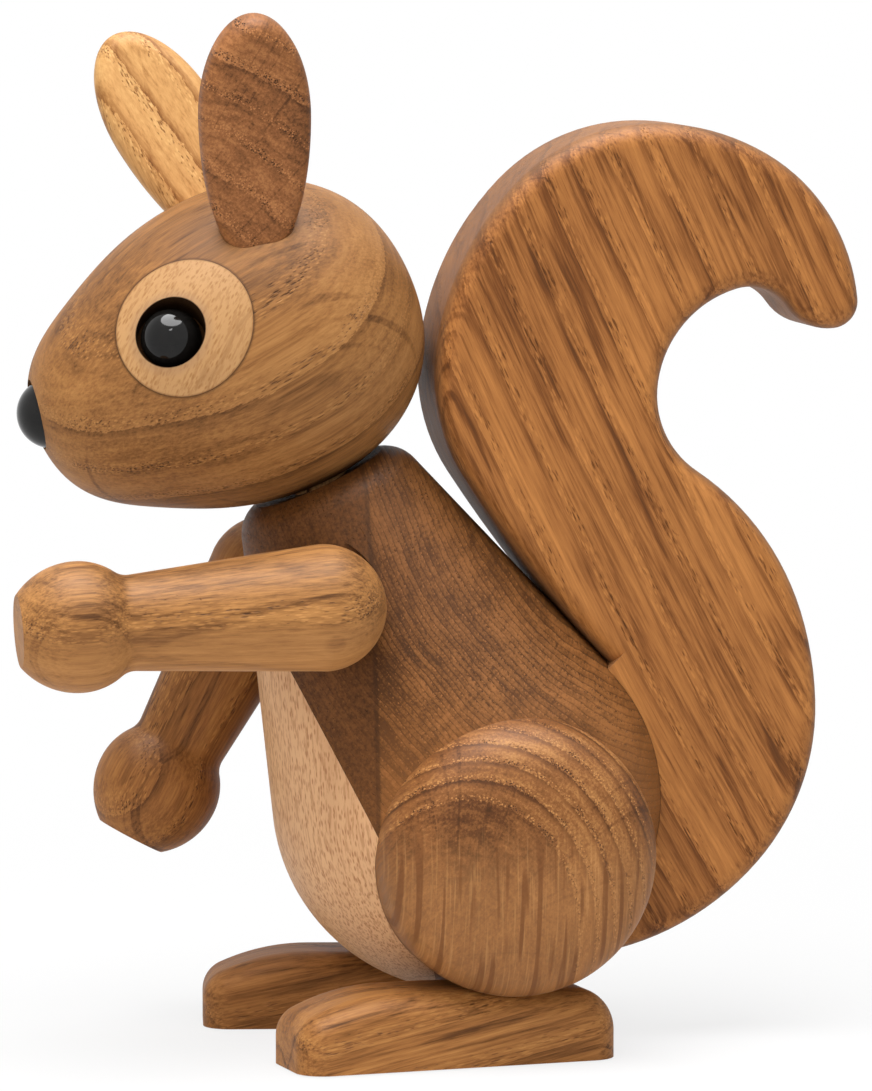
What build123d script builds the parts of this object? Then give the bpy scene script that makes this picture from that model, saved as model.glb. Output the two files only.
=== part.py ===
"""Wooden squirrel figurine: turned and sawn oak pieces on hidden dowels.

The head turns on a neck pin and each arm swings on its own shoulder pin.
The figure faces -X and stands on the ground Z = 0. Its left side is -Y, and
the XZ plane is its plane of symmetry. All sizes are millimetres and degrees.
"""

import os
from math import cos, radians, sin, sqrt, tan

from build123d import *

os.makedirs("parts", exist_ok=True)

SIDES = {"left": -1, "right": 1}

# Clearances
glue_gap = 0.05
running_gap = 0.05
seat_gap = 0.25

# Body: a ball with a tapering flank, turned about an axis that leans forward
body_x = 6.0
body_z = 34.5
lean = 25.0
body_radius = 27.5
flank_angle = 18.5
body_height = 50.3
body_top_round = 5.0
belly_plane = 16.3

# Head: an egg lying across the neck at its widest place, the snout lifted a little from square
head_radius = 21.9
head_front = 33.1
head_back = 23.4
cheek_station = 22.0
cheek_radius = 15.5
nape_station = 16.6
nape_radius = 16.4
head_pitch = 1.6
head_sink = 0.9
head_seat_radius = 46.0

# Neck pin
neck_pin_radius = 4.0
neck_pin_in_head = 11.0
neck_pin_in_body = 16.0

# Ears: oval paddles set into the egg, each at its own lean
ear_width = 15.4
ear_top = 14.3
ear_bottom = 21.3
ear_rise = 15.7
ear_thickness = 6.4
ear_edge_round = 2.6
ear_behind = 4.7
ear_bearing = 40.5
ear_root_radius = 21.4
ear_splay = 14.0
ear_leans = {"left": 3.0, "right": 30.5}

# Eyes: a pale plug flush with the egg, bored off centre for a bead
eye_ahead = 10.3
eye_bearing = 65.0
eye_plug_radius = 9.45
eye_plug_floor = 14.5
eye_offset = 2.1
eye_hole_radius = 4.8
eye_bead_radius = 4.2
eye_bead_height = 16.4

# Nose bead
nose_radius = 4.9
nose_ahead = 30.1
nose_rise = 2.5
nose_tilt = 19.0

# Arms: turned tapers with a ball hand, planed flat where they lie on the body
arm_spread = 22.3
arm_flat = 7.4
shoulder_ahead = 9.8
shoulder_up = 37.0
shoulder_radius = 8.75
shoulder_room = 0.6
wrist_radius = 6.5
wrist_hollow = 3.0
hand_radius = 9.0
hand_reach = 33.9
hand_tip = 8.2
hand_flat_radius = 5.0
arm_droops = {"left": 3.3, "right": 61.5}
shoulder_pin_radius = 2.5
shoulder_pin_in_arm = 8.0
shoulder_pin_in_body = 8.0

# Thighs: domed discs let into the sides of the ball
thigh_drop = 6.3
thigh_radius = 19.6
thigh_floor = 12.0
thigh_rim = 21.5
thigh_apex = 30.5
thigh_edge_round = 2.0
thigh_dowel_radius = 3.0
thigh_dowel_reach = 6.5

# Feet: flat-soled bars with a humped back and a sawn toe, the right one set further forward
foot_length = 46.5
foot_width = 16.0
foot_height = 10.6
foot_splay = 8.6
heels_behind = {"left": 16.4, "right": 11.6}
heel_spread = 14.4
toe_height = 6.6
heel_height = 9.4
toe_slope = 15.0
heel_round = 6.0
toe_round = 4.3
foot_edge_round = 4.0
foot_corner_round = 3.0
foot_dowel_radius = 2.0
foot_dowel_spread = 19.5
foot_dowel_reach = 5.5

# Tail: an S-shaped board on the plane of symmetry, its points measured from the ball's centre
tail_thickness = 18.0
tail_edge_round = 3.0
tail_crown = (25.3, 94.8)
tail_brow = (5.7, 86.6)
tail_chest = (-5.7, 62.5)
tail_waist = (-1.6, 45.5)
tail_lap = (13.5, 25.4)
tail_seat = (19.2, 19.2)
tail_shoulder = (41.5, 90.5)
tail_hook = (54.8, 70.0)
tail_tip = (51.4, 65.8)
tail_lip = (44.6, 68.9)
tail_throat = (37.3, 71.5)
tail_crook = (26.1, 58.7)
tail_nook = (31.7, 46.0)
tail_back = (46.8, 25.9)
tail_bulge = (49.0, 13.2)
tail_haunch = (40.6, -9.7)
tail_end = (20.5, -21.5)
tail_dowel_radius = 3.0
tail_dowel_reach = 9.0
tail_dowel_bearings = {"upper": 20.0, "lower": -14.0}

# Planes of the side view: local x runs backward and local y upward
LEFT_WAY = (0, -1, 0)
back_way = (cos(radians(lean)), 0, sin(radians(lean)))
tail_side = Plane(origin=(body_x, 0, body_z), x_dir=(1, 0, 0), z_dir=LEFT_WAY)
body_side = Plane(origin=(body_x, 0, body_z), x_dir=back_way, z_dir=LEFT_WAY)
body_axis = Axis(body_side.origin, body_side.y_dir)
head_height = body_height + head_radius - head_sink
head_centre = body_side.from_local_coords((0, head_height, 0))
head_tilt = radians(lean - head_pitch)
head_way = (cos(head_tilt), 0, sin(head_tilt))
head_side = Plane(origin=head_centre, x_dir=head_way, z_dir=LEFT_WAY)
head_axis = Axis(head_side.origin, head_side.x_dir)

# Places that several pieces share
shoulder = body_side.from_local_coords((-shoulder_ahead, shoulder_up, 0))
thigh_centre = body_side.from_local_coords((0, -thigh_drop, 0))
arm_face = arm_spread - arm_flat


def across_body(up):
    """The plane square to the leaning axis at a height above the ball's centre."""
    return Plane(
        origin=body_side.from_local_coords((0, up, 0)), x_dir=back_way, z_dir=body_side.y_dir
    )


def facing_out(place, spread, side):
    """The plane at a distance from the plane of symmetry, facing out to one side."""
    return Plane(origin=(place.X, side * spread, place.Z), x_dir=(1, 0, 0), z_dir=(0, side, 0))


def off_head(side, bearing, ahead, radius):
    """The plane at a radius from the egg's axis, facing straight out at a bearing from its top."""
    turn = radians(bearing)
    out = Vector(0, cos(turn), -side * sin(turn))
    place = head_side.from_local_coords(Vector(-ahead, 0, 0) + out * radius)
    return Plane(
        origin=place, x_dir=head_way, z_dir=head_side.from_local_coords(out) - head_centre
    )


def body_blank(grow=0.0):
    """The whole turned body with its belly still on, grown by a clearance."""
    radius = body_radius + grow
    slope = radians(flank_angle)
    waist = (radius * cos(slope), radius * sin(slope))
    top = (waist[0] - (body_height - waist[1]) * tan(slope), body_height)
    with BuildPart() as blank:
        with BuildSketch(body_side):
            with BuildLine():
                CenterArc((0, 0), radius, -90, 90 + flank_angle)
                Polyline(waist, top, (0, body_height), (0, -radius))
            make_face()
        revolve(axis=body_axis)
        fillet(blank.edges().sort_by(body_axis)[-1], body_top_round)
    return blank.part


def head_blank():
    """The plain egg of the head."""
    with BuildPart() as blank:
        with BuildSketch(head_side):
            with BuildLine():
                Spline(
                    (-head_front, 0),
                    (-cheek_station, cheek_radius),
                    (0, head_radius),
                    tangents=[(0, 1), (1, 0)],
                )
                Spline(
                    (0, head_radius),
                    (nape_station, nape_radius),
                    (head_back, 0),
                    tangents=[(1, 0), (0, -1)],
                )
                Line((head_back, 0), (-head_front, 0))
            make_face()
        revolve(axis=head_axis)
    return blank.part


def ear_blank(name, grow=0.0):
    """An oval paddle with rounded edges, grown by a clearance for its socket."""
    side = SIDES[name]
    tilt = radians(ear_leans[name])
    splay = radians(ear_splay)
    across = Vector(cos(tilt), 0, sin(tilt))
    up = Vector(-sin(tilt) * cos(splay), side * sin(splay), cos(tilt) * cos(splay))
    root = off_head(side, ear_bearing, -ear_behind, ear_root_radius).origin
    half = ear_width / 2 + grow
    with BuildPart() as paddle:
        with BuildSketch(Plane(origin=root, x_dir=across, z_dir=across.cross(up))):
            with BuildLine():
                EllipticalCenterArc((0, ear_rise), half, ear_top + grow, 0, arc_size=180)
                EllipticalCenterArc((0, ear_rise), half, ear_bottom + grow, 180, arc_size=180)
            make_face()
        extrude(amount=ear_thickness / 2 + grow, both=True)
        fillet(paddle.edges().filter_by(GeomType.ELLIPSE), ear_edge_round)
    return paddle.part


def thigh_blank(side, grow=0.0):
    """A domed disc on the outside of the ball, grown by a clearance for its seats."""
    radius = thigh_radius + grow
    floor = side * (thigh_floor - grow)
    rim = side * thigh_rim
    apex = side * (thigh_apex + grow)
    with BuildPart() as disc:
        with BuildSketch(Plane(origin=thigh_centre)) as half:
            with BuildLine():
                Polyline((0, apex), (0, floor), (radius, floor), (radius, rim))
                TangentArc((0, apex), (radius, rim), tangent=(1, 0))
            make_face()
            fillet(half.vertices().sort_by_distance((radius, rim))[0], thigh_edge_round)
        revolve(axis=Axis(thigh_centre, (0, 1, 0)))
    return disc.part


def dowel(plane, radius, below, above):
    """A round bar along a plane's normal, reaching a length below and above the plane."""
    with BuildPart() as bar:
        with BuildSketch(plane.offset(-below)):
            Circle(radius)
        extrude(amount=below + above)
    return bar.part


def arc_chain(points, way):
    """Arcs from point to point, each tangent to the last, setting off in a given direction."""
    for here, there in zip(points, points[1:]):
        arc = TangentArc(here, there, tangent=way)
        way = arc % 1


def save(part, label):
    """Name a finished piece and write it."""
    part.label = label
    export_step(part, f"parts/{label}.step")


# Shared blanks and cutters
body = body_blank()
egg = head_blank()
body_seat = body_blank(glue_gap)
neck_plane = across_body(body_height)
shoulder_planes = {}
thigh_planes = {}
thigh_seats = {}
sole_planes = {}
foot_dowel_holes = {}
for name, side in SIDES.items():
    shoulder_planes[name] = facing_out(shoulder, arm_face, side)
    thigh_planes[name] = facing_out(thigh_centre, thigh_floor, side)
    thigh_seats[name] = thigh_blank(side, glue_gap)
    thigh_bottom = (thigh_centre.X, side * foot_dowel_spread, thigh_centre.Z - thigh_radius)
    sole_planes[name] = Plane(origin=thigh_bottom)
    hole_reach = foot_dowel_reach + glue_gap
    foot_dowel_holes[name] = dowel(
        sole_planes[name], foot_dowel_radius + glue_gap, hole_reach, hole_reach
    )

# The torso and the belly are one turning, sawn apart and glued together again
belly_cut = Plane(
    origin=body_side.from_local_coords((-belly_plane, 0, 0)), z_dir=-body_side.x_dir
)
shoulder_seats = {}
for name in SIDES:
    seat_plane = shoulder_planes[name].offset(-seat_gap)
    shoulder_seats[name] = dowel(seat_plane, shoulder_radius + shoulder_room, 0, body_radius)

with BuildPart() as belly:
    add(body)
    split(bisect_by=belly_cut, keep=Keep.TOP)
    for name in SIDES:
        add(thigh_seats[name], mode=Mode.SUBTRACT)
        add(shoulder_seats[name], mode=Mode.SUBTRACT)
save(belly.part, "belly")

# Tail dowels lie on rays from the ball's centre
tail_dowel_planes = {}
for name, bearing in tail_dowel_bearings.items():
    ray = Vector(cos(radians(bearing)), 0, sin(radians(bearing)))
    tail_dowel_planes[name] = Plane(origin=tail_side.origin + ray * body_radius, z_dir=ray)

with BuildPart() as torso:
    add(body)
    split(bisect_by=belly_cut, keep=Keep.BOTTOM)
    with Locations(across_body(body_height - head_sink - seat_gap + head_seat_radius)):
        Sphere(head_seat_radius, mode=Mode.SUBTRACT)
    with BuildSketch(neck_plane):
        Circle(neck_pin_radius + running_gap)
    extrude(amount=-neck_pin_in_body - seat_gap, mode=Mode.SUBTRACT)
    for name in SIDES:
        add(thigh_seats[name], mode=Mode.SUBTRACT)
        add(foot_dowel_holes[name], mode=Mode.SUBTRACT)
        add(shoulder_seats[name], mode=Mode.SUBTRACT)
        with BuildSketch(shoulder_planes[name]):
            Circle(shoulder_pin_radius + running_gap)
        extrude(amount=-shoulder_pin_in_body - seat_gap, mode=Mode.SUBTRACT)
        with BuildSketch(thigh_planes[name]):
            Circle(thigh_dowel_radius + glue_gap)
        extrude(amount=-thigh_dowel_reach - glue_gap, mode=Mode.SUBTRACT)
    for dowel_plane in tail_dowel_planes.values():
        with BuildSketch(dowel_plane):
            Circle(tail_dowel_radius + glue_gap)
        extrude(amount=tail_dowel_reach + glue_gap, both=True, mode=Mode.SUBTRACT)
save(torso.part, "torso")

# Head with its pin and its nose bead
nose_centre = head_side.from_local_coords((-nose_ahead, nose_rise, 0))
nose_drop = head_tilt - radians(nose_tilt)
nose_way = Vector(-cos(nose_drop), 0, -sin(nose_drop))
ear_sockets = {name: ear_blank(name, glue_gap) for name in SIDES}

with BuildPart() as head:
    add(egg)
    with BuildSketch(neck_plane.offset(neck_pin_in_head + glue_gap)):
        Circle(neck_pin_radius + glue_gap)
    extrude(amount=-neck_pin_in_head - head_radius, mode=Mode.SUBTRACT)
    with Locations(nose_centre):
        Sphere(nose_radius + glue_gap, mode=Mode.SUBTRACT)
    with BuildSketch(Plane(origin=nose_centre, z_dir=nose_way)):
        Circle(nose_radius + glue_gap)
    extrude(amount=head_radius, mode=Mode.SUBTRACT)
    for name, side in SIDES.items():
        add(ear_sockets[name], mode=Mode.SUBTRACT)
        with BuildSketch(off_head(side, eye_bearing, eye_ahead, eye_plug_floor - glue_gap)):
            Circle(eye_plug_radius + glue_gap)
        extrude(amount=head_radius, mode=Mode.SUBTRACT)
        with Locations(off_head(side, eye_bearing, eye_ahead + eye_offset, eye_bead_height)):
            Sphere(eye_bead_radius + glue_gap, mode=Mode.SUBTRACT)
save(head.part, "head")

save(dowel(neck_plane, neck_pin_radius, neck_pin_in_body, neck_pin_in_head), "neck_pin")

with BuildPart() as nose:
    with Locations(nose_centre):
        Sphere(nose_radius)
save(nose.part, "nose")

# Ears and eyes
for name, side in SIDES.items():
    save(ear_blank(name), f"{name}_ear")

    with BuildPart() as eye_ring:
        add(egg)
        with BuildSketch(off_head(side, eye_bearing, eye_ahead, eye_plug_floor)):
            Circle(eye_plug_radius)
        extrude(amount=head_radius, mode=Mode.INTERSECT)
        with BuildSketch(off_head(side, eye_bearing, eye_ahead + eye_offset, 0)):
            Circle(eye_hole_radius)
        extrude(amount=2 * head_radius, mode=Mode.SUBTRACT)
    save(eye_ring.part, f"{name}_eye_ring")

    with BuildPart() as eye:
        with Locations(off_head(side, eye_bearing, eye_ahead + eye_offset, eye_bead_height)):
            Sphere(eye_bead_radius)
    save(eye.part, f"{name}_eye")

# Arms with their shoulder pins
wrist = (hand_reach - sqrt(hand_radius**2 - wrist_radius**2), wrist_radius)
hand_end = (hand_reach + hand_tip, hand_flat_radius)
for name, side in SIDES.items():
    droop = radians(arm_droops[name])
    arm_way = Vector(-cos(droop), 0, -sin(droop))
    arm_origin = (shoulder.X, side * arm_spread, shoulder.Z)
    arm_side = Plane(origin=arm_origin, x_dir=arm_way, z_dir=LEFT_WAY)
    inner_face = shoulder_planes[name]
    with BuildPart() as arm:
        with BuildSketch(arm_side) as profile:
            with BuildLine():
                CenterArc((0, 0), shoulder_radius, 90, 90)
                Line((0, shoulder_radius), wrist)
                TangentArc((hand_reach, hand_radius), wrist, tangent=(-1, 0))
                TangentArc((hand_reach, hand_radius), hand_end, tangent=(1, 0))
                Polyline(hand_end, (hand_end[0], 0), (-shoulder_radius, 0))
            make_face()
            fillet(profile.vertices().sort_by_distance(wrist)[0], wrist_hollow)
        revolve(axis=Axis(arm_origin, arm_way))
        with BuildSketch(Plane(origin=inner_face.origin, x_dir=arm_way, z_dir=inner_face.z_dir)):
            with Locations(((wrist[0] - shoulder_radius) / 2, 0)):
                Rectangle(wrist[0] + shoulder_radius, 2 * shoulder_radius)
        extrude(amount=-shoulder_radius, mode=Mode.SUBTRACT)
        with BuildSketch(inner_face):
            Circle(shoulder_pin_radius + glue_gap)
        extrude(amount=shoulder_pin_in_arm + glue_gap, mode=Mode.SUBTRACT)
    save(arm.part, f"{name}_arm")

    pin = dowel(inner_face, shoulder_pin_radius, shoulder_pin_in_body, shoulder_pin_in_arm)
    save(pin, f"{name}_shoulder_pin")

# Legs: thighs and feet with their dowels
hump = (foot_length - toe_slope, foot_height)
for name, side in SIDES.items():
    with BuildPart() as thigh:
        add(thigh_blank(side))
        with BuildSketch(thigh_planes[name]):
            Circle(thigh_dowel_radius + glue_gap)
        extrude(amount=thigh_dowel_reach + glue_gap, mode=Mode.SUBTRACT)
        add(foot_dowel_holes[name], mode=Mode.SUBTRACT)
    save(thigh.part, f"{name}_thigh")

    toe_way = Vector(-cos(radians(foot_splay)), side * sin(radians(foot_splay)), 0)
    heel = (body_x + heels_behind[name], side * heel_spread, 0)
    foot_side = Plane(origin=heel, x_dir=toe_way, z_dir=toe_way.cross(Vector(0, 0, 1)))
    with BuildPart() as foot:
        with BuildSketch(foot_side) as profile:
            with BuildLine():
                TangentArc(hump, (foot_length, toe_height), tangent=(1, 0))
                Polyline((foot_length, toe_height), (foot_length, 0), (0, 0), (0, heel_height))
                TangentArc(hump, (0, heel_height), tangent=(-1, 0))
            make_face()
            fillet(profile.vertices().sort_by_distance((0, heel_height))[0], heel_round)
            fillet(profile.vertices().sort_by_distance((foot_length, toe_height))[0], toe_round)
        extrude(amount=foot_width / 2, both=True)
        flanks = foot.faces().filter_by(Axis(heel, foot_side.z_dir))
        rims = flanks.edges().filter_by(Axis.Z, reverse=True)
        fillet(rims.filter_by(lambda edge: edge.center().Z > foot_edge_round), foot_edge_round)
        with BuildSketch(Plane(origin=heel, x_dir=toe_way)):
            with Locations((foot_length / 2, 0)):
                RectangleRounded(foot_length, foot_width, foot_corner_round)
        extrude(amount=foot_height, mode=Mode.INTERSECT)
        add(thigh_seats[name], mode=Mode.SUBTRACT)
        add(body_seat, mode=Mode.SUBTRACT)
        add(foot_dowel_holes[name], mode=Mode.SUBTRACT)
    save(foot.part, f"{name}_foot")

    pin = dowel(thigh_planes[name], thigh_dowel_radius, thigh_dowel_reach, thigh_dowel_reach)
    save(pin, f"{name}_thigh_dowel")
    pin = dowel(sole_planes[name], foot_dowel_radius, foot_dowel_reach, foot_dowel_reach)
    save(pin, f"{name}_foot_dowel")

# Tail with its dowels
with BuildPart() as tail:
    with BuildSketch(tail_side):
        with BuildLine():
            arc_chain(
                [tail_crown, tail_brow, tail_chest, tail_waist, tail_lap, tail_seat], (-1, 0)
            )
            arc_chain(
                [tail_crown, tail_shoulder, tail_hook, tail_tip, tail_lip, tail_throat, tail_crook,
                 tail_nook, tail_back, tail_bulge, tail_haunch, tail_end],
                (1, 0),
            )
            Polyline(tail_end, (0, 0), tail_seat)
        make_face()
    extrude(amount=tail_thickness / 2, both=True)
    broad_faces = tail.faces().filter_by(Axis.Y)
    outline = broad_faces.edges().filter_by(GeomType.LINE, reverse=True)
    fillet(outline, tail_edge_round)
    add(body_seat, mode=Mode.SUBTRACT)
    for dowel_plane in tail_dowel_planes.values():
        with BuildSketch(dowel_plane):
            Circle(tail_dowel_radius + glue_gap)
        extrude(amount=tail_dowel_reach + glue_gap, both=True, mode=Mode.SUBTRACT)
save(tail.part, "tail")

for name, dowel_plane in tail_dowel_planes.items():
    pin = dowel(dowel_plane, tail_dowel_radius, tail_dowel_reach, tail_dowel_reach)
    save(pin, f"{name}_tail_dowel")
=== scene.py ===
"""Looks of the wooden squirrel: oiled oak and maple grown from ring and pore patterns."""

from math import cos, pi, radians, sin

import bpy
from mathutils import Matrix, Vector


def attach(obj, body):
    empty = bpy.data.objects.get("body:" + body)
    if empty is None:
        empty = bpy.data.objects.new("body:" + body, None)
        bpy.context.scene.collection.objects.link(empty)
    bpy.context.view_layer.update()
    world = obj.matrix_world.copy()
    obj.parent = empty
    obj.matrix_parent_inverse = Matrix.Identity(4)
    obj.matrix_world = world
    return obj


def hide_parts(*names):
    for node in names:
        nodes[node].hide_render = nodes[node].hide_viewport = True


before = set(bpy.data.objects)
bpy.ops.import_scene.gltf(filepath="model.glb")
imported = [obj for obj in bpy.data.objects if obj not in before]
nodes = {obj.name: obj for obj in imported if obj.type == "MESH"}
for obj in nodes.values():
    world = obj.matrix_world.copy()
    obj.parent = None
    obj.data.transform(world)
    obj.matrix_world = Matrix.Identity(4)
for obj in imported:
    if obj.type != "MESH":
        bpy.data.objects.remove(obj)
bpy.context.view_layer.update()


def tilted(degrees):
    """A direction in the figure's upright middle plane, turned up from +X."""
    return Vector((cos(radians(degrees)), 0, sin(radians(degrees))))


MM_PER_M = 1000
WHITE = (1, 1, 1, 1)
WOOD_SPECULAR, BEAD_SPECULAR = 0.14, 0.25
OAK_RELIEF, MAPLE_RELIEF = 0.15, 0.04
PORE = (70, 42, 20)

# Places and sizes in the figure that the looks follow, in millimetres
HEAD_TILT = 23.4
HEAD_CENTRE = Vector((-24.13, 0, 99.12))
HEAD_BACK, HEAD_UP = tilted(HEAD_TILT), tilted(HEAD_TILT + 90)
EYE_TURN = radians(65)
EYE_OUT = HEAD_UP * cos(EYE_TURN) + Vector((0, -sin(EYE_TURN), 0))
PLUG_CENTRE = HEAD_CENTRE - HEAD_BACK * 10.3
PLUG_RADIUS, POCKET_RADIUS = 9.45, 9.5
HOLE_CENTRE = HEAD_CENTRE - HEAD_BACK * 12.4
HOLE_RADIUS = 4.8
BOARD_EDGE = -10.7
THIGH_X, THIGH_Z = 8.662, 28.79
THIGH_RADIUS, THIGH_FLOOR, THIGH_RIM, THIGH_APEX = 19.6, 12.0, 21.0, 32.0


class Nodes:
    """Builds one node tree. Inputs are plain values or the outputs of other nodes."""

    def __init__(self, owner):
        owner.use_nodes = True
        self.tree = owner.node_tree
        self.tree.nodes.clear()

    def node(self, kind, inputs=(), **settings):
        """Add a node. Its inputs come in their order, or by name or number in a dictionary."""
        made = self.tree.nodes.new(kind)
        for key, value in settings.items():
            setattr(made, key, value)
        for key, value in inputs.items() if isinstance(inputs, dict) else enumerate(inputs):
            if isinstance(value, bpy.types.NodeSocket):
                self.tree.links.new(value, made.inputs[key])
            else:
                made.inputs[key].default_value = value
        return made

    def math(self, operation, *values, clamp=False):
        return self.node("ShaderNodeMath", values, operation=operation, use_clamp=clamp).outputs[0]

    def add(self, total, *values):
        for value in values:
            total = self.math("ADD", total, value)
        return total

    def times(self, product, *values):
        for value in values:
            product = self.math("MULTIPLY", product, value)
        return product

    def swing(self, value, spread):
        """A value from 0 to 1, moved to lie to both sides of zero."""
        return self.times(self.math("SUBTRACT", value, 0.5), spread)

    def vector(self, operation, *values):
        made = self.node("ShaderNodeVectorMath", values, operation=operation)
        return made.outputs["Value" if operation in ("DOT_PRODUCT", "LENGTH") else "Vector"]

    def split(self, value):
        return self.node("ShaderNodeSeparateXYZ", (value,)).outputs

    def drawn(self, x, y, along, squeeze):
        """A place for a pattern drawn out along the grain, where only part of the length counts."""
        return self.node("ShaderNodeCombineXYZ", (x, y, self.times(along, squeeze))).outputs[0]

    def noise(self, place, scale, detail=2.0, roughness=0.5):
        inputs = {"Vector": place, "Scale": scale, "Detail": detail, "Roughness": roughness}
        return self.node("ShaderNodeTexNoise", inputs).outputs[0]

    def cells(self, place, scale):
        return self.node("ShaderNodeTexVoronoi", {"Vector": place, "Scale": scale}).outputs["Distance"]

    def step(self, value, low, high, to_low=0.0, to_high=1.0):
        """A smooth change from to_low to to_high while the value goes from low to high."""
        inputs = (value, low, high, to_low, to_high)
        return self.node("ShaderNodeMapRange", inputs, interpolation_type="SMOOTHSTEP").outputs[0]

    def mix(self, share, first, second):
        inputs = {0: share, 6: first, 7: second}
        return self.node("ShaderNodeMix", inputs, data_type="RGBA").outputs[2]

    def ramp(self, share, stops):
        made = self.node("ShaderNodeValToRGB", (share,))
        elements = made.color_ramp.elements
        while len(elements) < len(stops):
            elements.new(0.5)
        for element, (at, colour) in zip(elements, stops):
            element.position = at
            element.color = colour
        return made.outputs[0]

    def seen(self):
        """1 for the camera's rays and for those that are mirrored or let through, 0 for the rest."""
        path = self.node("ShaderNodeLightPath").outputs
        onward = self.math("MAXIMUM", path["Is Glossy Ray"], path["Is Transmission Ray"])
        return self.math("MAXIMUM", path["Is Camera Ray"], onward)

    def choose(self, share, first, second):
        return self.node("ShaderNodeMixShader", (share, first, second)).outputs[0]


class Shader(Nodes):
    """The material of a piece, with its patterns placed in millimetres."""

    def __init__(self, name):
        self.material = bpy.data.materials.new(name)
        super().__init__(self.material)
        metres = self.node("ShaderNodeTexCoord").outputs["Object"]
        self.place = self.vector("MULTIPLY", metres, (MM_PER_M, MM_PER_M, MM_PER_M))

    def axes(self, place, grain, inward):
        """A place as distances across the grain towards inward, beside that, and along the grain."""
        along = Vector(grain).normalized()
        across = Vector(inward)
        across = (across - along * across.dot(along)).normalized()
        ways = (across, along.cross(across), along)
        return [self.vector("DOT_PRODUCT", place, way) for way in ways]

    def finish(self, colour, roughness, specular, height=None, relief=0.0):
        inputs = {"Base Color": colour, "Roughness": roughness, "Specular IOR Level": specular}
        if height is not None:
            bump = {"Strength": 1.0, "Distance": relief / MM_PER_M, "Height": height}
            inputs["Normal"] = self.node("ShaderNodeBump", bump).outputs[0]
        surface = self.node("ShaderNodeBsdfPrincipled", inputs).outputs[0]
        self.node("ShaderNodeOutputMaterial", (surface,))
        return self.material


def linear(red, green, blue):
    """A colour named in 0 to 255 display values, as the linear values that shaders take."""
    def one(value):
        value /= 255
        return value / 12.92 if value <= 0.04045 else ((value + 0.055) / 1.055) ** 2.4
    return (one(red), one(green), one(blue), 1.0)


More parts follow.
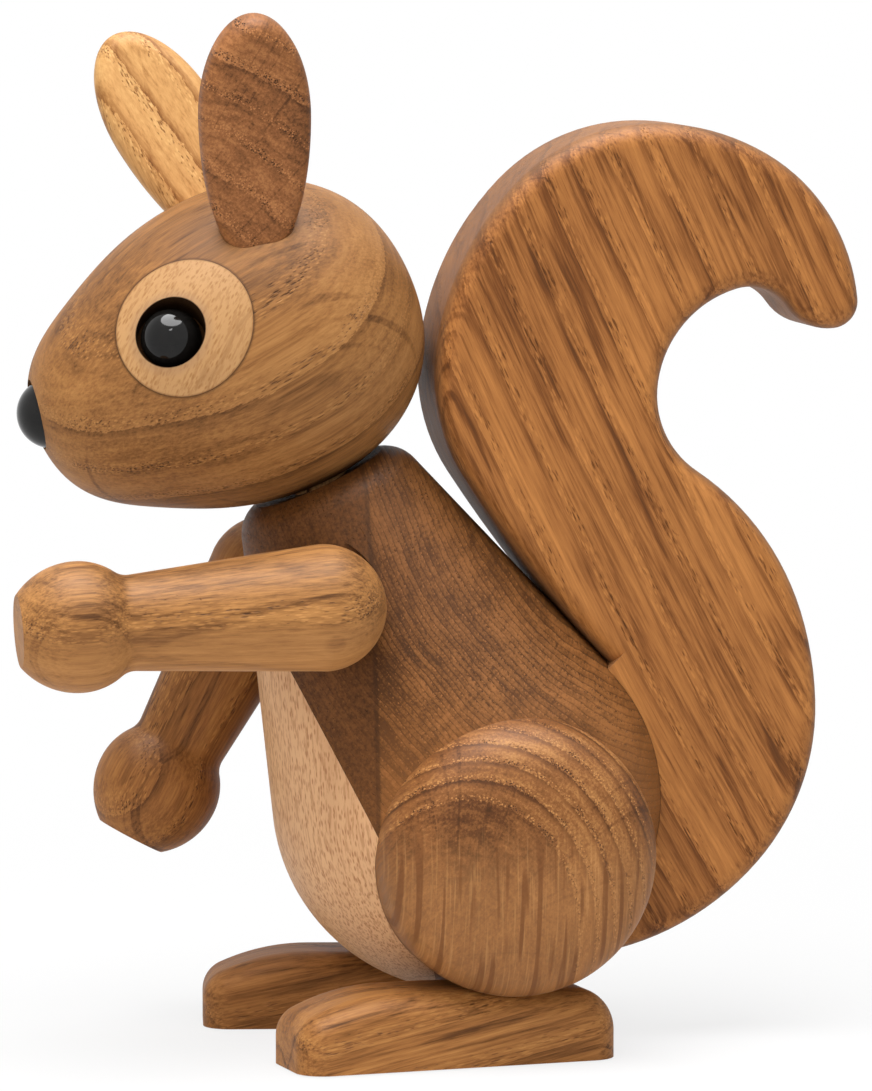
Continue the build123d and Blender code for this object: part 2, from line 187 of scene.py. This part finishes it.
def oak(name, centre, grain, inward, pith, ring, pale, mid, dark, pore=PORE,
        bend=0.0, shift=0.0, warp=1.0, line=0.6, pores=1.0, rays=0.3, ray_gap=1.0,
        fibre=0.5, blotch=0.3, core=0.0, zone=None):
    """Oak for one piece.

    centre is a point in the piece, grain the way its fibres run, inward the way to the tree's
    pith, which lies that many millimetres off. ring is the width of a year's growth. bend curves
    the rings along the grain, shift moves them by part of a year and warp is how far they wander.
    Wood nearer to the pith than core shows no rings. The four colours, in display values, go from
    pale wood to the open pores. line, pores, rays, fibre and blotch say how strongly late wood,
    pores, rays, fibres and broad patches show. zone changes the colour in parts of the piece.
    """
    make = Shader(name)
    x, y, a = make.axes(make.vector("SUBTRACT", make.place, centre), grain, inward)
    x = make.add(make.math("SUBTRACT", x, pith), make.times(a, a, bend))

    # The rings wander slowly along the trunk, wobble a little across it and fray along the fibres
    fine = make.noise(make.drawn(x, y, a, 0.04), scale=2.6, detail=4.0, roughness=0.7)
    slow = make.noise(make.drawn(x, y, a, 0.3), scale=0.03)
    wobble = make.noise(make.drawn(x, y, a, 0.15), scale=0.3, detail=3.0)
    radius = make.math("SQRT", make.add(make.times(x, x), make.times(y, y)))
    radius = make.add(radius, make.swing(slow, 8.0 * warp), make.swing(wobble, 1.2 * warp))
    frayed = make.add(radius, make.swing(fine, min(1.2, 0.35 * ring)))
    years = make.add(make.math("DIVIDE", make.math("MAXIMUM", frayed, core), ring), shift)
    year = make.math("FRACT", years)
    own = make.node("ShaderNodeTexWhiteNoise", {"W": make.math("FLOOR", years)}, noise_dimensions="1D")
    turn = make.times(make.math("ARCTAN2", y, x), pith)

    # Tone, from 0 for open pores to 1 for the palest wood
    early = make.times(make.step(year, 0.0, 0.05), make.step(year, 0.12, 0.42, 1.0, 0.0))
    late = make.math("POWER", make.step(year, 0.6, 1.0), 2.0)
    broad = make.noise(make.drawn(x, y, a, 0.3), scale=0.08, detail=3.0, roughness=0.55)
    streak = make.noise(make.drawn(radius, make.times(turn, 0.25), a, 0.02),
                        scale=0.9, detail=4.0, roughness=0.65)
    tone = make.add(0.5, make.swing(fine, 2.4 * fibre), make.swing(streak, 2.0 * fibre),
                    make.swing(broad, 2.0 * blotch), make.swing(own.outputs["Value"], 0.24),
                    make.times(late, -0.5 * line))

    # Pores: thin tubes along the grain, crowded in early wood, some filled pale and some open
    tubes = make.cells(make.drawn(x, y, a, 0.14), scale=3.4)
    filled = make.cells(make.drawn(make.add(x, 40.0), y, a, 0.2), scale=2.6)
    crowd = make.noise(make.drawn(x, y, a, 0.4), scale=0.2)
    size = make.times(make.add(make.times(early, 0.36), 0.05), make.step(crowd, 0.35, 0.65, 0.4, 1.2))
    holes = make.step(tubes, make.times(size, 0.5), size, 1.0, 0.0)
    flecks = make.times(make.step(filled, 0.2, 0.42, 1.0, 0.0), early)
    tone = make.add(tone, make.times(flecks, 0.5 * pores), make.times(holes, -0.55 * pores))

    # Rays: thin sheets along the grain that run from the pith outward
    sheets = make.drawn(make.math("DIVIDE", turn, ray_gap), make.times(radius, 0.03), a, 0.05)
    ray = make.step(make.noise(sheets, scale=1.0, detail=1.0), 0.6, 0.7)
    tone = make.math("SUBTRACT", tone, make.times(ray, rays), clamp=True)

    colour = make.ramp(tone, (
        (0.0, linear(*pore)), (0.2, linear(*dark)), (0.5, linear(*mid)), (0.85, linear(*pale))))
    if zone is not None:
        colour = zone(make, colour)
    height = make.math("SUBTRACT", make.times(fine, 0.3), make.times(holes, pores))
    rough = make.step(fine, 0.3, 0.8, 0.46, 0.62)
    return make.finish(colour, rough, WOOD_SPECULAR, height, OAK_RELIEF)


def maple(name, grain, pale, fleck, vein, zone=None):
    """Pale close-grained maple with short flecks and a few faint veins."""
    make = Shader(name)
    pale, fleck, vein = linear(*pale), linear(*fleck), linear(*vein)
    x, y, a = make.axes(make.place, grain, Vector(grain).orthogonal())
    dash = make.step(make.cells(make.drawn(x, y, a, 0.3), scale=2.2), 0.16, 0.42, 1.0, 0.0)
    cloud = make.noise(make.drawn(x, y, a, 0.3), scale=0.06, detail=3.0, roughness=0.55)
    fine = make.noise(make.drawn(x, y, a, 0.15), scale=2.4, detail=3.0, roughness=0.6)
    wave = make.math("FRACT", make.add(make.times(x, 0.05), make.times(cloud, 2.0)))
    band = make.math("ABSOLUTE", make.math("SUBTRACT", wave, 0.5))
    colour = make.mix(make.times(make.step(cloud, 0.35, 0.7), 0.5), pale, fleck)
    colour = make.mix(make.times(dash, 0.8), colour, fleck)
    colour = make.mix(make.times(make.step(fine, 0.48, 0.62), 0.5), colour, fleck)
    colour = make.mix(make.step(band, 0.0, 0.03, 0.4, 0.0), colour, vein)
    if zone is not None:
        colour = zone(make, colour)
    rough = make.step(fine, 0.3, 0.8, 0.45, 0.58)
    return make.finish(colour, rough, WOOD_SPECULAR, fine, MAPLE_RELIEF)


def black_bead(name):
    """Deep black glossy bead with a trace of polishing haze."""
    make = Shader(name)
    haze = make.noise(make.place, scale=0.7, detail=3.0)
    colour = make.mix(haze, (0.003, 0.003, 0.003, 1.0), (0.010, 0.009, 0.008, 1.0))
    return make.finish(colour, make.step(haze, 0.3, 0.8, 0.06, 0.12), BEAD_SPECULAR)


def off_axis(make, point, way):
    """Distance from a line, with the right half mirrored onto the left."""
    near = make.vector("MULTIPLY", make.vector("ABSOLUTE", make.place), (0, -1, 0))
    flat = make.vector("MULTIPLY", make.place, (1, 0, 1))
    offset = make.vector("SUBTRACT", make.vector("ADD", near, flat), point)
    return make.vector("LENGTH", make.vector("CROSS_PRODUCT", offset, way))


def head_zone(make, colour):
    """A thin dark glue line around each eye plug."""
    away = off_axis(make, PLUG_CENTRE, EYE_OUT)
    glue = make.step(away, POCKET_RADIUS, POCKET_RADIUS + 0.4, 0.75, 0.0)
    return make.mix(glue, colour, linear(74, 46, 24))


def ring_zone(make, colour):
    """Painted shade at the eye's hole: a dark wall and a greyer band around it. The plug's rim is darker
    too.
    """
    hole = off_axis(make, HOLE_CENTRE, EYE_OUT)
    shade = make.step(hole, HOLE_RADIUS + 0.1, HOLE_RADIUS + 1.6, 0.5, 0.0)
    hole_wall_shade = make.step(hole, HOLE_RADIUS - 0.02, HOLE_RADIUS + 0.15, 1.0, 0.0)
    rim = make.step(off_axis(make, PLUG_CENTRE, EYE_OUT), PLUG_RADIUS - 0.3, PLUG_RADIUS, 0.0, 0.5)
    # Painted shade: the greyer band round the hole and the dark wall in it
    colour = make.mix(shade, colour, linear(150, 116, 86))
    colour = make.mix(hole_wall_shade, colour, linear(44, 26, 12))
    return make.mix(rim, colour, linear(120, 78, 44))


def torso_zone(make, colour):
    """The front of the torso is a darker board, met at an upright joint line."""
    x, _, z = make.split(make.place)
    # Darker towards the top under the head, partly painted shade and partly darker wood; lighter towards the
    # bottom
    colour = make.mix(make.step(z, 45.0, 78.0, 0.0, 0.35), colour, linear(84, 50, 22))
    colour = make.mix(make.step(z, 30.0, 58.0, 0.55, 0.0), colour, linear(152, 98, 52))
    front = make.step(x, BOARD_EDGE - 0.5, BOARD_EDGE + 0.1, 1.0, 0.0)
    speck = make.noise(make.place, scale=1.5, detail=3.0, roughness=0.7)
    board = make.mix(make.step(speck, 0.35, 0.7), linear(102, 62, 29), linear(62, 36, 15))
    colour = make.mix(make.times(front, 0.72), colour, board)
    joint = make.math("ABSOLUTE", make.math("SUBTRACT", x, BOARD_EDGE))
    return make.mix(make.step(joint, 0.1, 0.5, 0.6, 0.0), colour, linear(58, 34, 16))


def arm_zone(make, colour):
    """The lower half is a little darker."""
    z = make.split(make.place)[2]
    return make.mix(make.step(z, 60.0, 64.0, 0.35, 0.0), colour, linear(140, 95, 56))


def thigh_zone(make, colour):
    """Thin upright ray lines in the lower half, where the board was cut along its rings."""
    x, _, z = make.split(make.place)
    lines = make.noise(make.drawn(make.times(x, 0.85), 0.0, z, 0.05), scale=1.0, detail=1.0)
    line = make.times(make.step(lines, 0.55, 0.64), make.step(z, 28.0, 36.0, 0.65, 0.0))
    hairs = make.noise(make.drawn(make.times(x, 3.0), 0.0, z, 0.1), scale=1.0)
    hair = make.times(make.step(hairs, 0.52, 0.7), make.step(z, 28.0, 36.0, 0.35, 0.0))
    colour = make.mix(make.step(z, 24.0, 36.0, 0.45, 0.0), colour, linear(172, 120, 73))
    colour = make.mix(hair, colour, linear(192, 141, 88))
    return make.mix(line, colour, linear(104, 62, 32))


def tail_edge_shade(make, colour):
    """Painted shade: the narrow edges are darker and greyer than the broad faces."""
    sideways = make.split(make.node("ShaderNodeTexCoord").outputs["Normal"])[1]
    edge_shade = make.step(make.math("ABSOLUTE", sideways), 0.35, 0.85, 0.55, 0.0)
    # Painted shade on the narrow edges
    return make.mix(edge_shade, colour, linear(112, 82, 58))


def thigh(name, side, material):
    """A turned dome with a full round outline that stands clear of the torso's flank."""
    power, rings, spokes, bevel = 2.6, 40, 144, 0.4
    profile = [(THIGH_RADIUS * share, THIGH_FLOOR) for share in (0.5, 0.98)]
    profile.append((THIGH_RADIUS, THIGH_FLOOR + bevel))
    for ring in range(rings):
        angle = pi / 2 * ring / rings
        profile.append((THIGH_RADIUS * cos(angle) ** (2 / power),
                        THIGH_RIM + (THIGH_APEX - THIGH_RIM) * sin(angle) ** (2 / power)))
    points = [(0, side * THIGH_FLOOR, 0)]
    for radius, out in profile:
        for spoke in range(spokes):
            angle = 2 * pi * spoke / spokes
            points.append((radius * cos(angle), side * out, radius * sin(angle)))
    points.append((0, side * THIGH_APEX, 0))
    faces = []
    for spoke in range(spokes):
        after = (spoke + 1) % spokes
        faces.append((0, 1 + after, 1 + spoke))
        for row in range(len(profile) - 1):
            low, high = 1 + row * spokes, 1 + (row + 1) * spokes
            faces.append((low + spoke, low + after, high + after, high + spoke))
        last = 1 + (len(profile) - 1) * spokes
        faces.append((last + spoke, last + after, len(points) - 1))
    if side > 0:
        faces = [tuple(reversed(face)) for face in faces]
    points = [((x + THIGH_X) / MM_PER_M, y / MM_PER_M, (z + THIGH_Z) / MM_PER_M) for x, y, z in points]
    mesh = bpy.data.meshes.new(name)
    mesh.from_pydata(points, [], faces)
    mesh.polygons.foreach_set("use_smooth", [True] * len(mesh.polygons))
    mesh.materials.append(material)
    piece = bpy.data.objects.new(name, mesh)
    bpy.context.scene.collection.objects.link(piece)
    return piece


def dress(material, slot, *names):
    """Put one material on CAD pieces. slot, the record's slot that it stands for, is not used."""
    for name in names:
        piece = nodes[name]
        piece.data.materials.clear()
        piece.data.materials.append(material)


# The tail's narrow edges get painted shade
dress(oak("tail oak", centre=(30, 0, 85), grain=tilted(-64), inward=(-0.9, 0.4, -0.45), pith=140, ring=5.0,
          pale=(186, 124, 66), mid=(157, 101, 52), dark=(112, 66, 30), pore=(88, 52, 24),
          bend=0.0006, line=0.4, pores=0.5, rays=0.2, ray_gap=0.8, zone=tail_edge_shade),
      "tail_wood", "tail")
dress(oak("head oak", centre=HEAD_CENTRE, grain=tilted(30), inward=(0.3, 0.5, -0.8), pith=110, ring=7.0,
          pale=(172, 122, 71), mid=(143, 97, 53), dark=(102, 66, 34),
          warp=0.4, line=0.35, pores=0.55, rays=0.2, ray_gap=1.5, fibre=0.4, zone=head_zone),
      "head_wood", "head")
dress(oak("torso oak", centre=(0, 0, 50), grain=(0.08, 1, 0.05), inward=(0.75, 0, 0.66), pith=75, ring=0.8,
          pale=(144, 93, 49), mid=(109, 68, 32), dark=(66, 38, 15),
          warp=0.5, line=0.7, rays=0.1, blotch=0.5, zone=torso_zone),
      "torso_wood", "torso")
dress(oak("left ear oak", centre=(-25, -18, 130), grain=(0.15, 1, 0.1), inward=(-0.6, 0, -0.8),
          pith=60, ring=5.0, pale=(174, 117, 72), mid=(138, 88, 50), dark=(94, 58, 32),
          warp=0.8, line=0.2, rays=0.14, ray_gap=0.4, fibre=0.45),
      "left_ear_wood", "left_ear")
dress(oak("right ear oak", centre=(-30, 18, 130), grain=(-0.5, 0, 0.86), inward=(0.9, 0.5, 0.4),
          pith=40, ring=4.5, pale=(220, 173, 112), mid=(198, 147, 89), dark=(146, 96, 50), pore=(96, 60, 30),
          pores=0.6, rays=0.1, fibre=0.35),
      "right_ear_wood", "right_ear")
dress(oak("left arm oak", centre=(-40, -22, 63), grain=(-1, 0, -0.06), inward=(0, 0.35, -1),
          pith=45, ring=11.0, pale=(198, 143, 84), mid=(168, 117, 66), dark=(112, 73, 38),
          shift=-0.25, warp=0.3, line=0.35, pores=0.45, rays=0.15, fibre=0.4, zone=arm_zone),
      "arm_wood", "left_arm")
# The right arm's colours are a darker copy of the left arm's, as painted shade
dress(oak("right arm oak in painted shade", centre=(-30, 22, 50), grain=tilted(241.5), inward=(1, 0.5, -0.4),
          pith=45, ring=6.0, pale=(172, 118, 64), mid=(138, 89, 46), dark=(92, 56, 27),
          warp=0.4, line=0.4, pores=0.6, rays=0.2, fibre=0.4),
      "arm_wood", "right_arm")
for side, hand in ((-1, "left"), (1, "right")):
    wood = oak(hand + " thigh oak", centre=(8.7, side * 25, 28.8), grain=(0.05, side * 0.85, 0.5),
               inward=(-0.65, side * 0.41, -0.64), pith=17, ring=2.7,
               pale=(182, 129, 76), mid=(134, 86, 46), dark=(90, 54, 27),
               shift=0.333, warp=0.15, line=0.5, rays=0.12, ray_gap=0.8, fibre=0.4,
               core=18.0, zone=thigh_zone)
    piece = thigh(hand + "_thigh_dome", side, wood)
    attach(piece, "body")
    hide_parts(hand + "_thigh")
dress(oak("left foot oak", centre=(0, -18, 6), grain=(1, 0.15, 0.2), inward=(0, 0.7, -1), pith=40, ring=5.0,
          pale=(182, 128, 72), mid=(151, 100, 53), dark=(98, 61, 29),
          rays=0.2, line=0.3, pores=0.4, blotch=0.45),
      "foot_wood", "left_foot")
# The right foot's colours are darker than the left foot's, as painted shade
dress(oak("right foot oak in painted shade", centre=(0, 18, 6), grain=(1, -0.15, 0.2), inward=(0, 0.7, -1), pith=40, ring=5.0,
          pale=(174, 119, 67), mid=(142, 93, 49), dark=(96, 60, 29),
          rays=0.2, line=0.3, pores=0.4, blotch=0.45),
      "foot_wood", "right_foot")
dress(oak("dowel oak", centre=(0, 0, 60), grain=(0, 0.2, 1), inward=(1, 0, 0), pith=40, ring=3.0,
          pale=(204, 160, 108), mid=(182, 134, 84), dark=(136, 92, 52)),
      "dowel_wood", *[name for name in nodes if name.endswith(("_dowel", "_pin"))])
dress(maple("belly maple", grain=(-0.12, 0, 1),
            pale=(212, 166, 122), fleck=(160, 109, 70), vein=(140, 92, 58)),
      "belly_wood", "belly")
dress(maple("ring maple", grain=(0.45, 0, 0.9),
            pale=(182, 139, 92), fleck=(152, 107, 64), vein=(130, 87, 51), zone=ring_zone),
      "eye_ring_wood", "left_eye_ring", "right_eye_ring")
dress(black_bead("black bead"), "black_bead", "nose", "left_eye", "right_eye")

# Floor: white to the camera and in reflections, with a faint shadow that fades away from the figure
FLOOR_SIZE, FLOOR_DROP = 6, 0.0002
FLOOR_COLOUR = (0.8, 0.8, 0.8, 1)
SHADOW_NEAR, SHADOW_FAR = 0.04, 0.3
WHITE_NEAR, WHITE_FAR = 0.8, 1.0
bpy.ops.mesh.primitive_plane_add(size=FLOOR_SIZE, location=(0, 0, -FLOOR_DROP))
floor = bpy.context.object
floor.name = "floor"
ground = bpy.data.materials.new("pale floor")
make = Nodes(ground)
reach = make.vector("LENGTH", make.node("ShaderNodeTexCoord").outputs["Object"])
share = make.times(make.seen(), make.step(reach, SHADOW_NEAR, SHADOW_FAR, WHITE_NEAR, WHITE_FAR))
diffuse = make.node("ShaderNodeBsdfDiffuse", {"Color": FLOOR_COLOUR}).outputs[0]
glow = make.node("ShaderNodeEmission", {"Color": WHITE}).outputs[0]
make.node("ShaderNodeOutputMaterial", (make.choose(share, diffuse, glow),))
floor.data.materials.append(ground)

# World: plain white to the camera and in reflections, soft light to the rest
FILL_STRENGTH = 0.4
world = bpy.data.worlds.new("studio")
bpy.context.scene.world = world
make = Nodes(world)
fill = make.node("ShaderNodeBackground", {"Color": WHITE, "Strength": FILL_STRENGTH}).outputs[0]
plain = make.node("ShaderNodeBackground", {"Color": WHITE, "Strength": 1.0}).outputs[0]
make.node("ShaderNodeOutputWorld", (make.choose(make.seen(), fill, plain),))

LAMP_AIM = Vector((0, 0, 0.07))


def lamp(name, place, size, power, mirrored=True, spread=True):
    """A round soft box that faces the middle of the figure."""
    light = bpy.data.lights.new(name, "AREA")
    light.shape = "DISK"
    light.size = size
    light.energy = power
    holder = bpy.data.objects.new(name, light)
    bpy.context.scene.collection.objects.link(holder)
    holder.visible_glossy = mirrored
    holder.visible_diffuse = spread
    holder.location = place
    holder.rotation_mode = "QUATERNION"
    holder.rotation_quaternion = (LAMP_AIM - Vector(place)).to_track_quat("-Z", "Y")


lamp("overhead", (-0.1, -0.2, 0.8), size=0.6, power=7.5, mirrored=False)
lamp("gloss", (-0.03, -0.1, 0.95), size=1.0, power=30.0, spread=False)
lamp("front", (-0.6, -1.0, 0.5), size=1.0, power=4.5, mirrored=False)

# Camera at the photograph's angle
THETA, ELEVATION, DISTANCE = radians(11.0), radians(5.5), 1.0
TARGET = Vector((0.00159, 0, 0.070))
PIXELS_PER_MM = 7.115
FRAME_PIXELS = 1091
SENSOR = 36
sight = Vector((-sin(THETA) * cos(ELEVATION), -cos(THETA) * cos(ELEVATION), sin(ELEVATION)))
camera_data = bpy.data.cameras.new("camera")
camera = bpy.data.objects.new("camera", camera_data)
bpy.context.scene.collection.objects.link(camera)
bpy.context.scene.camera = camera
camera.location = TARGET + sight * DISTANCE
camera.rotation_mode = "QUATERNION"
camera.rotation_quaternion = (-sight).to_track_quat("-Z", "Y")
camera_data.sensor_fit = "AUTO"
camera_data.sensor_width = SENSOR
camera_data.lens = SENSOR * DISTANCE * MM_PER_M * PIXELS_PER_MM / FRAME_PIXELS
camera_data.clip_start = 0.01
camera_data.clip_end = 100

bpy.context.scene.view_settings.view_transform = "Standard"
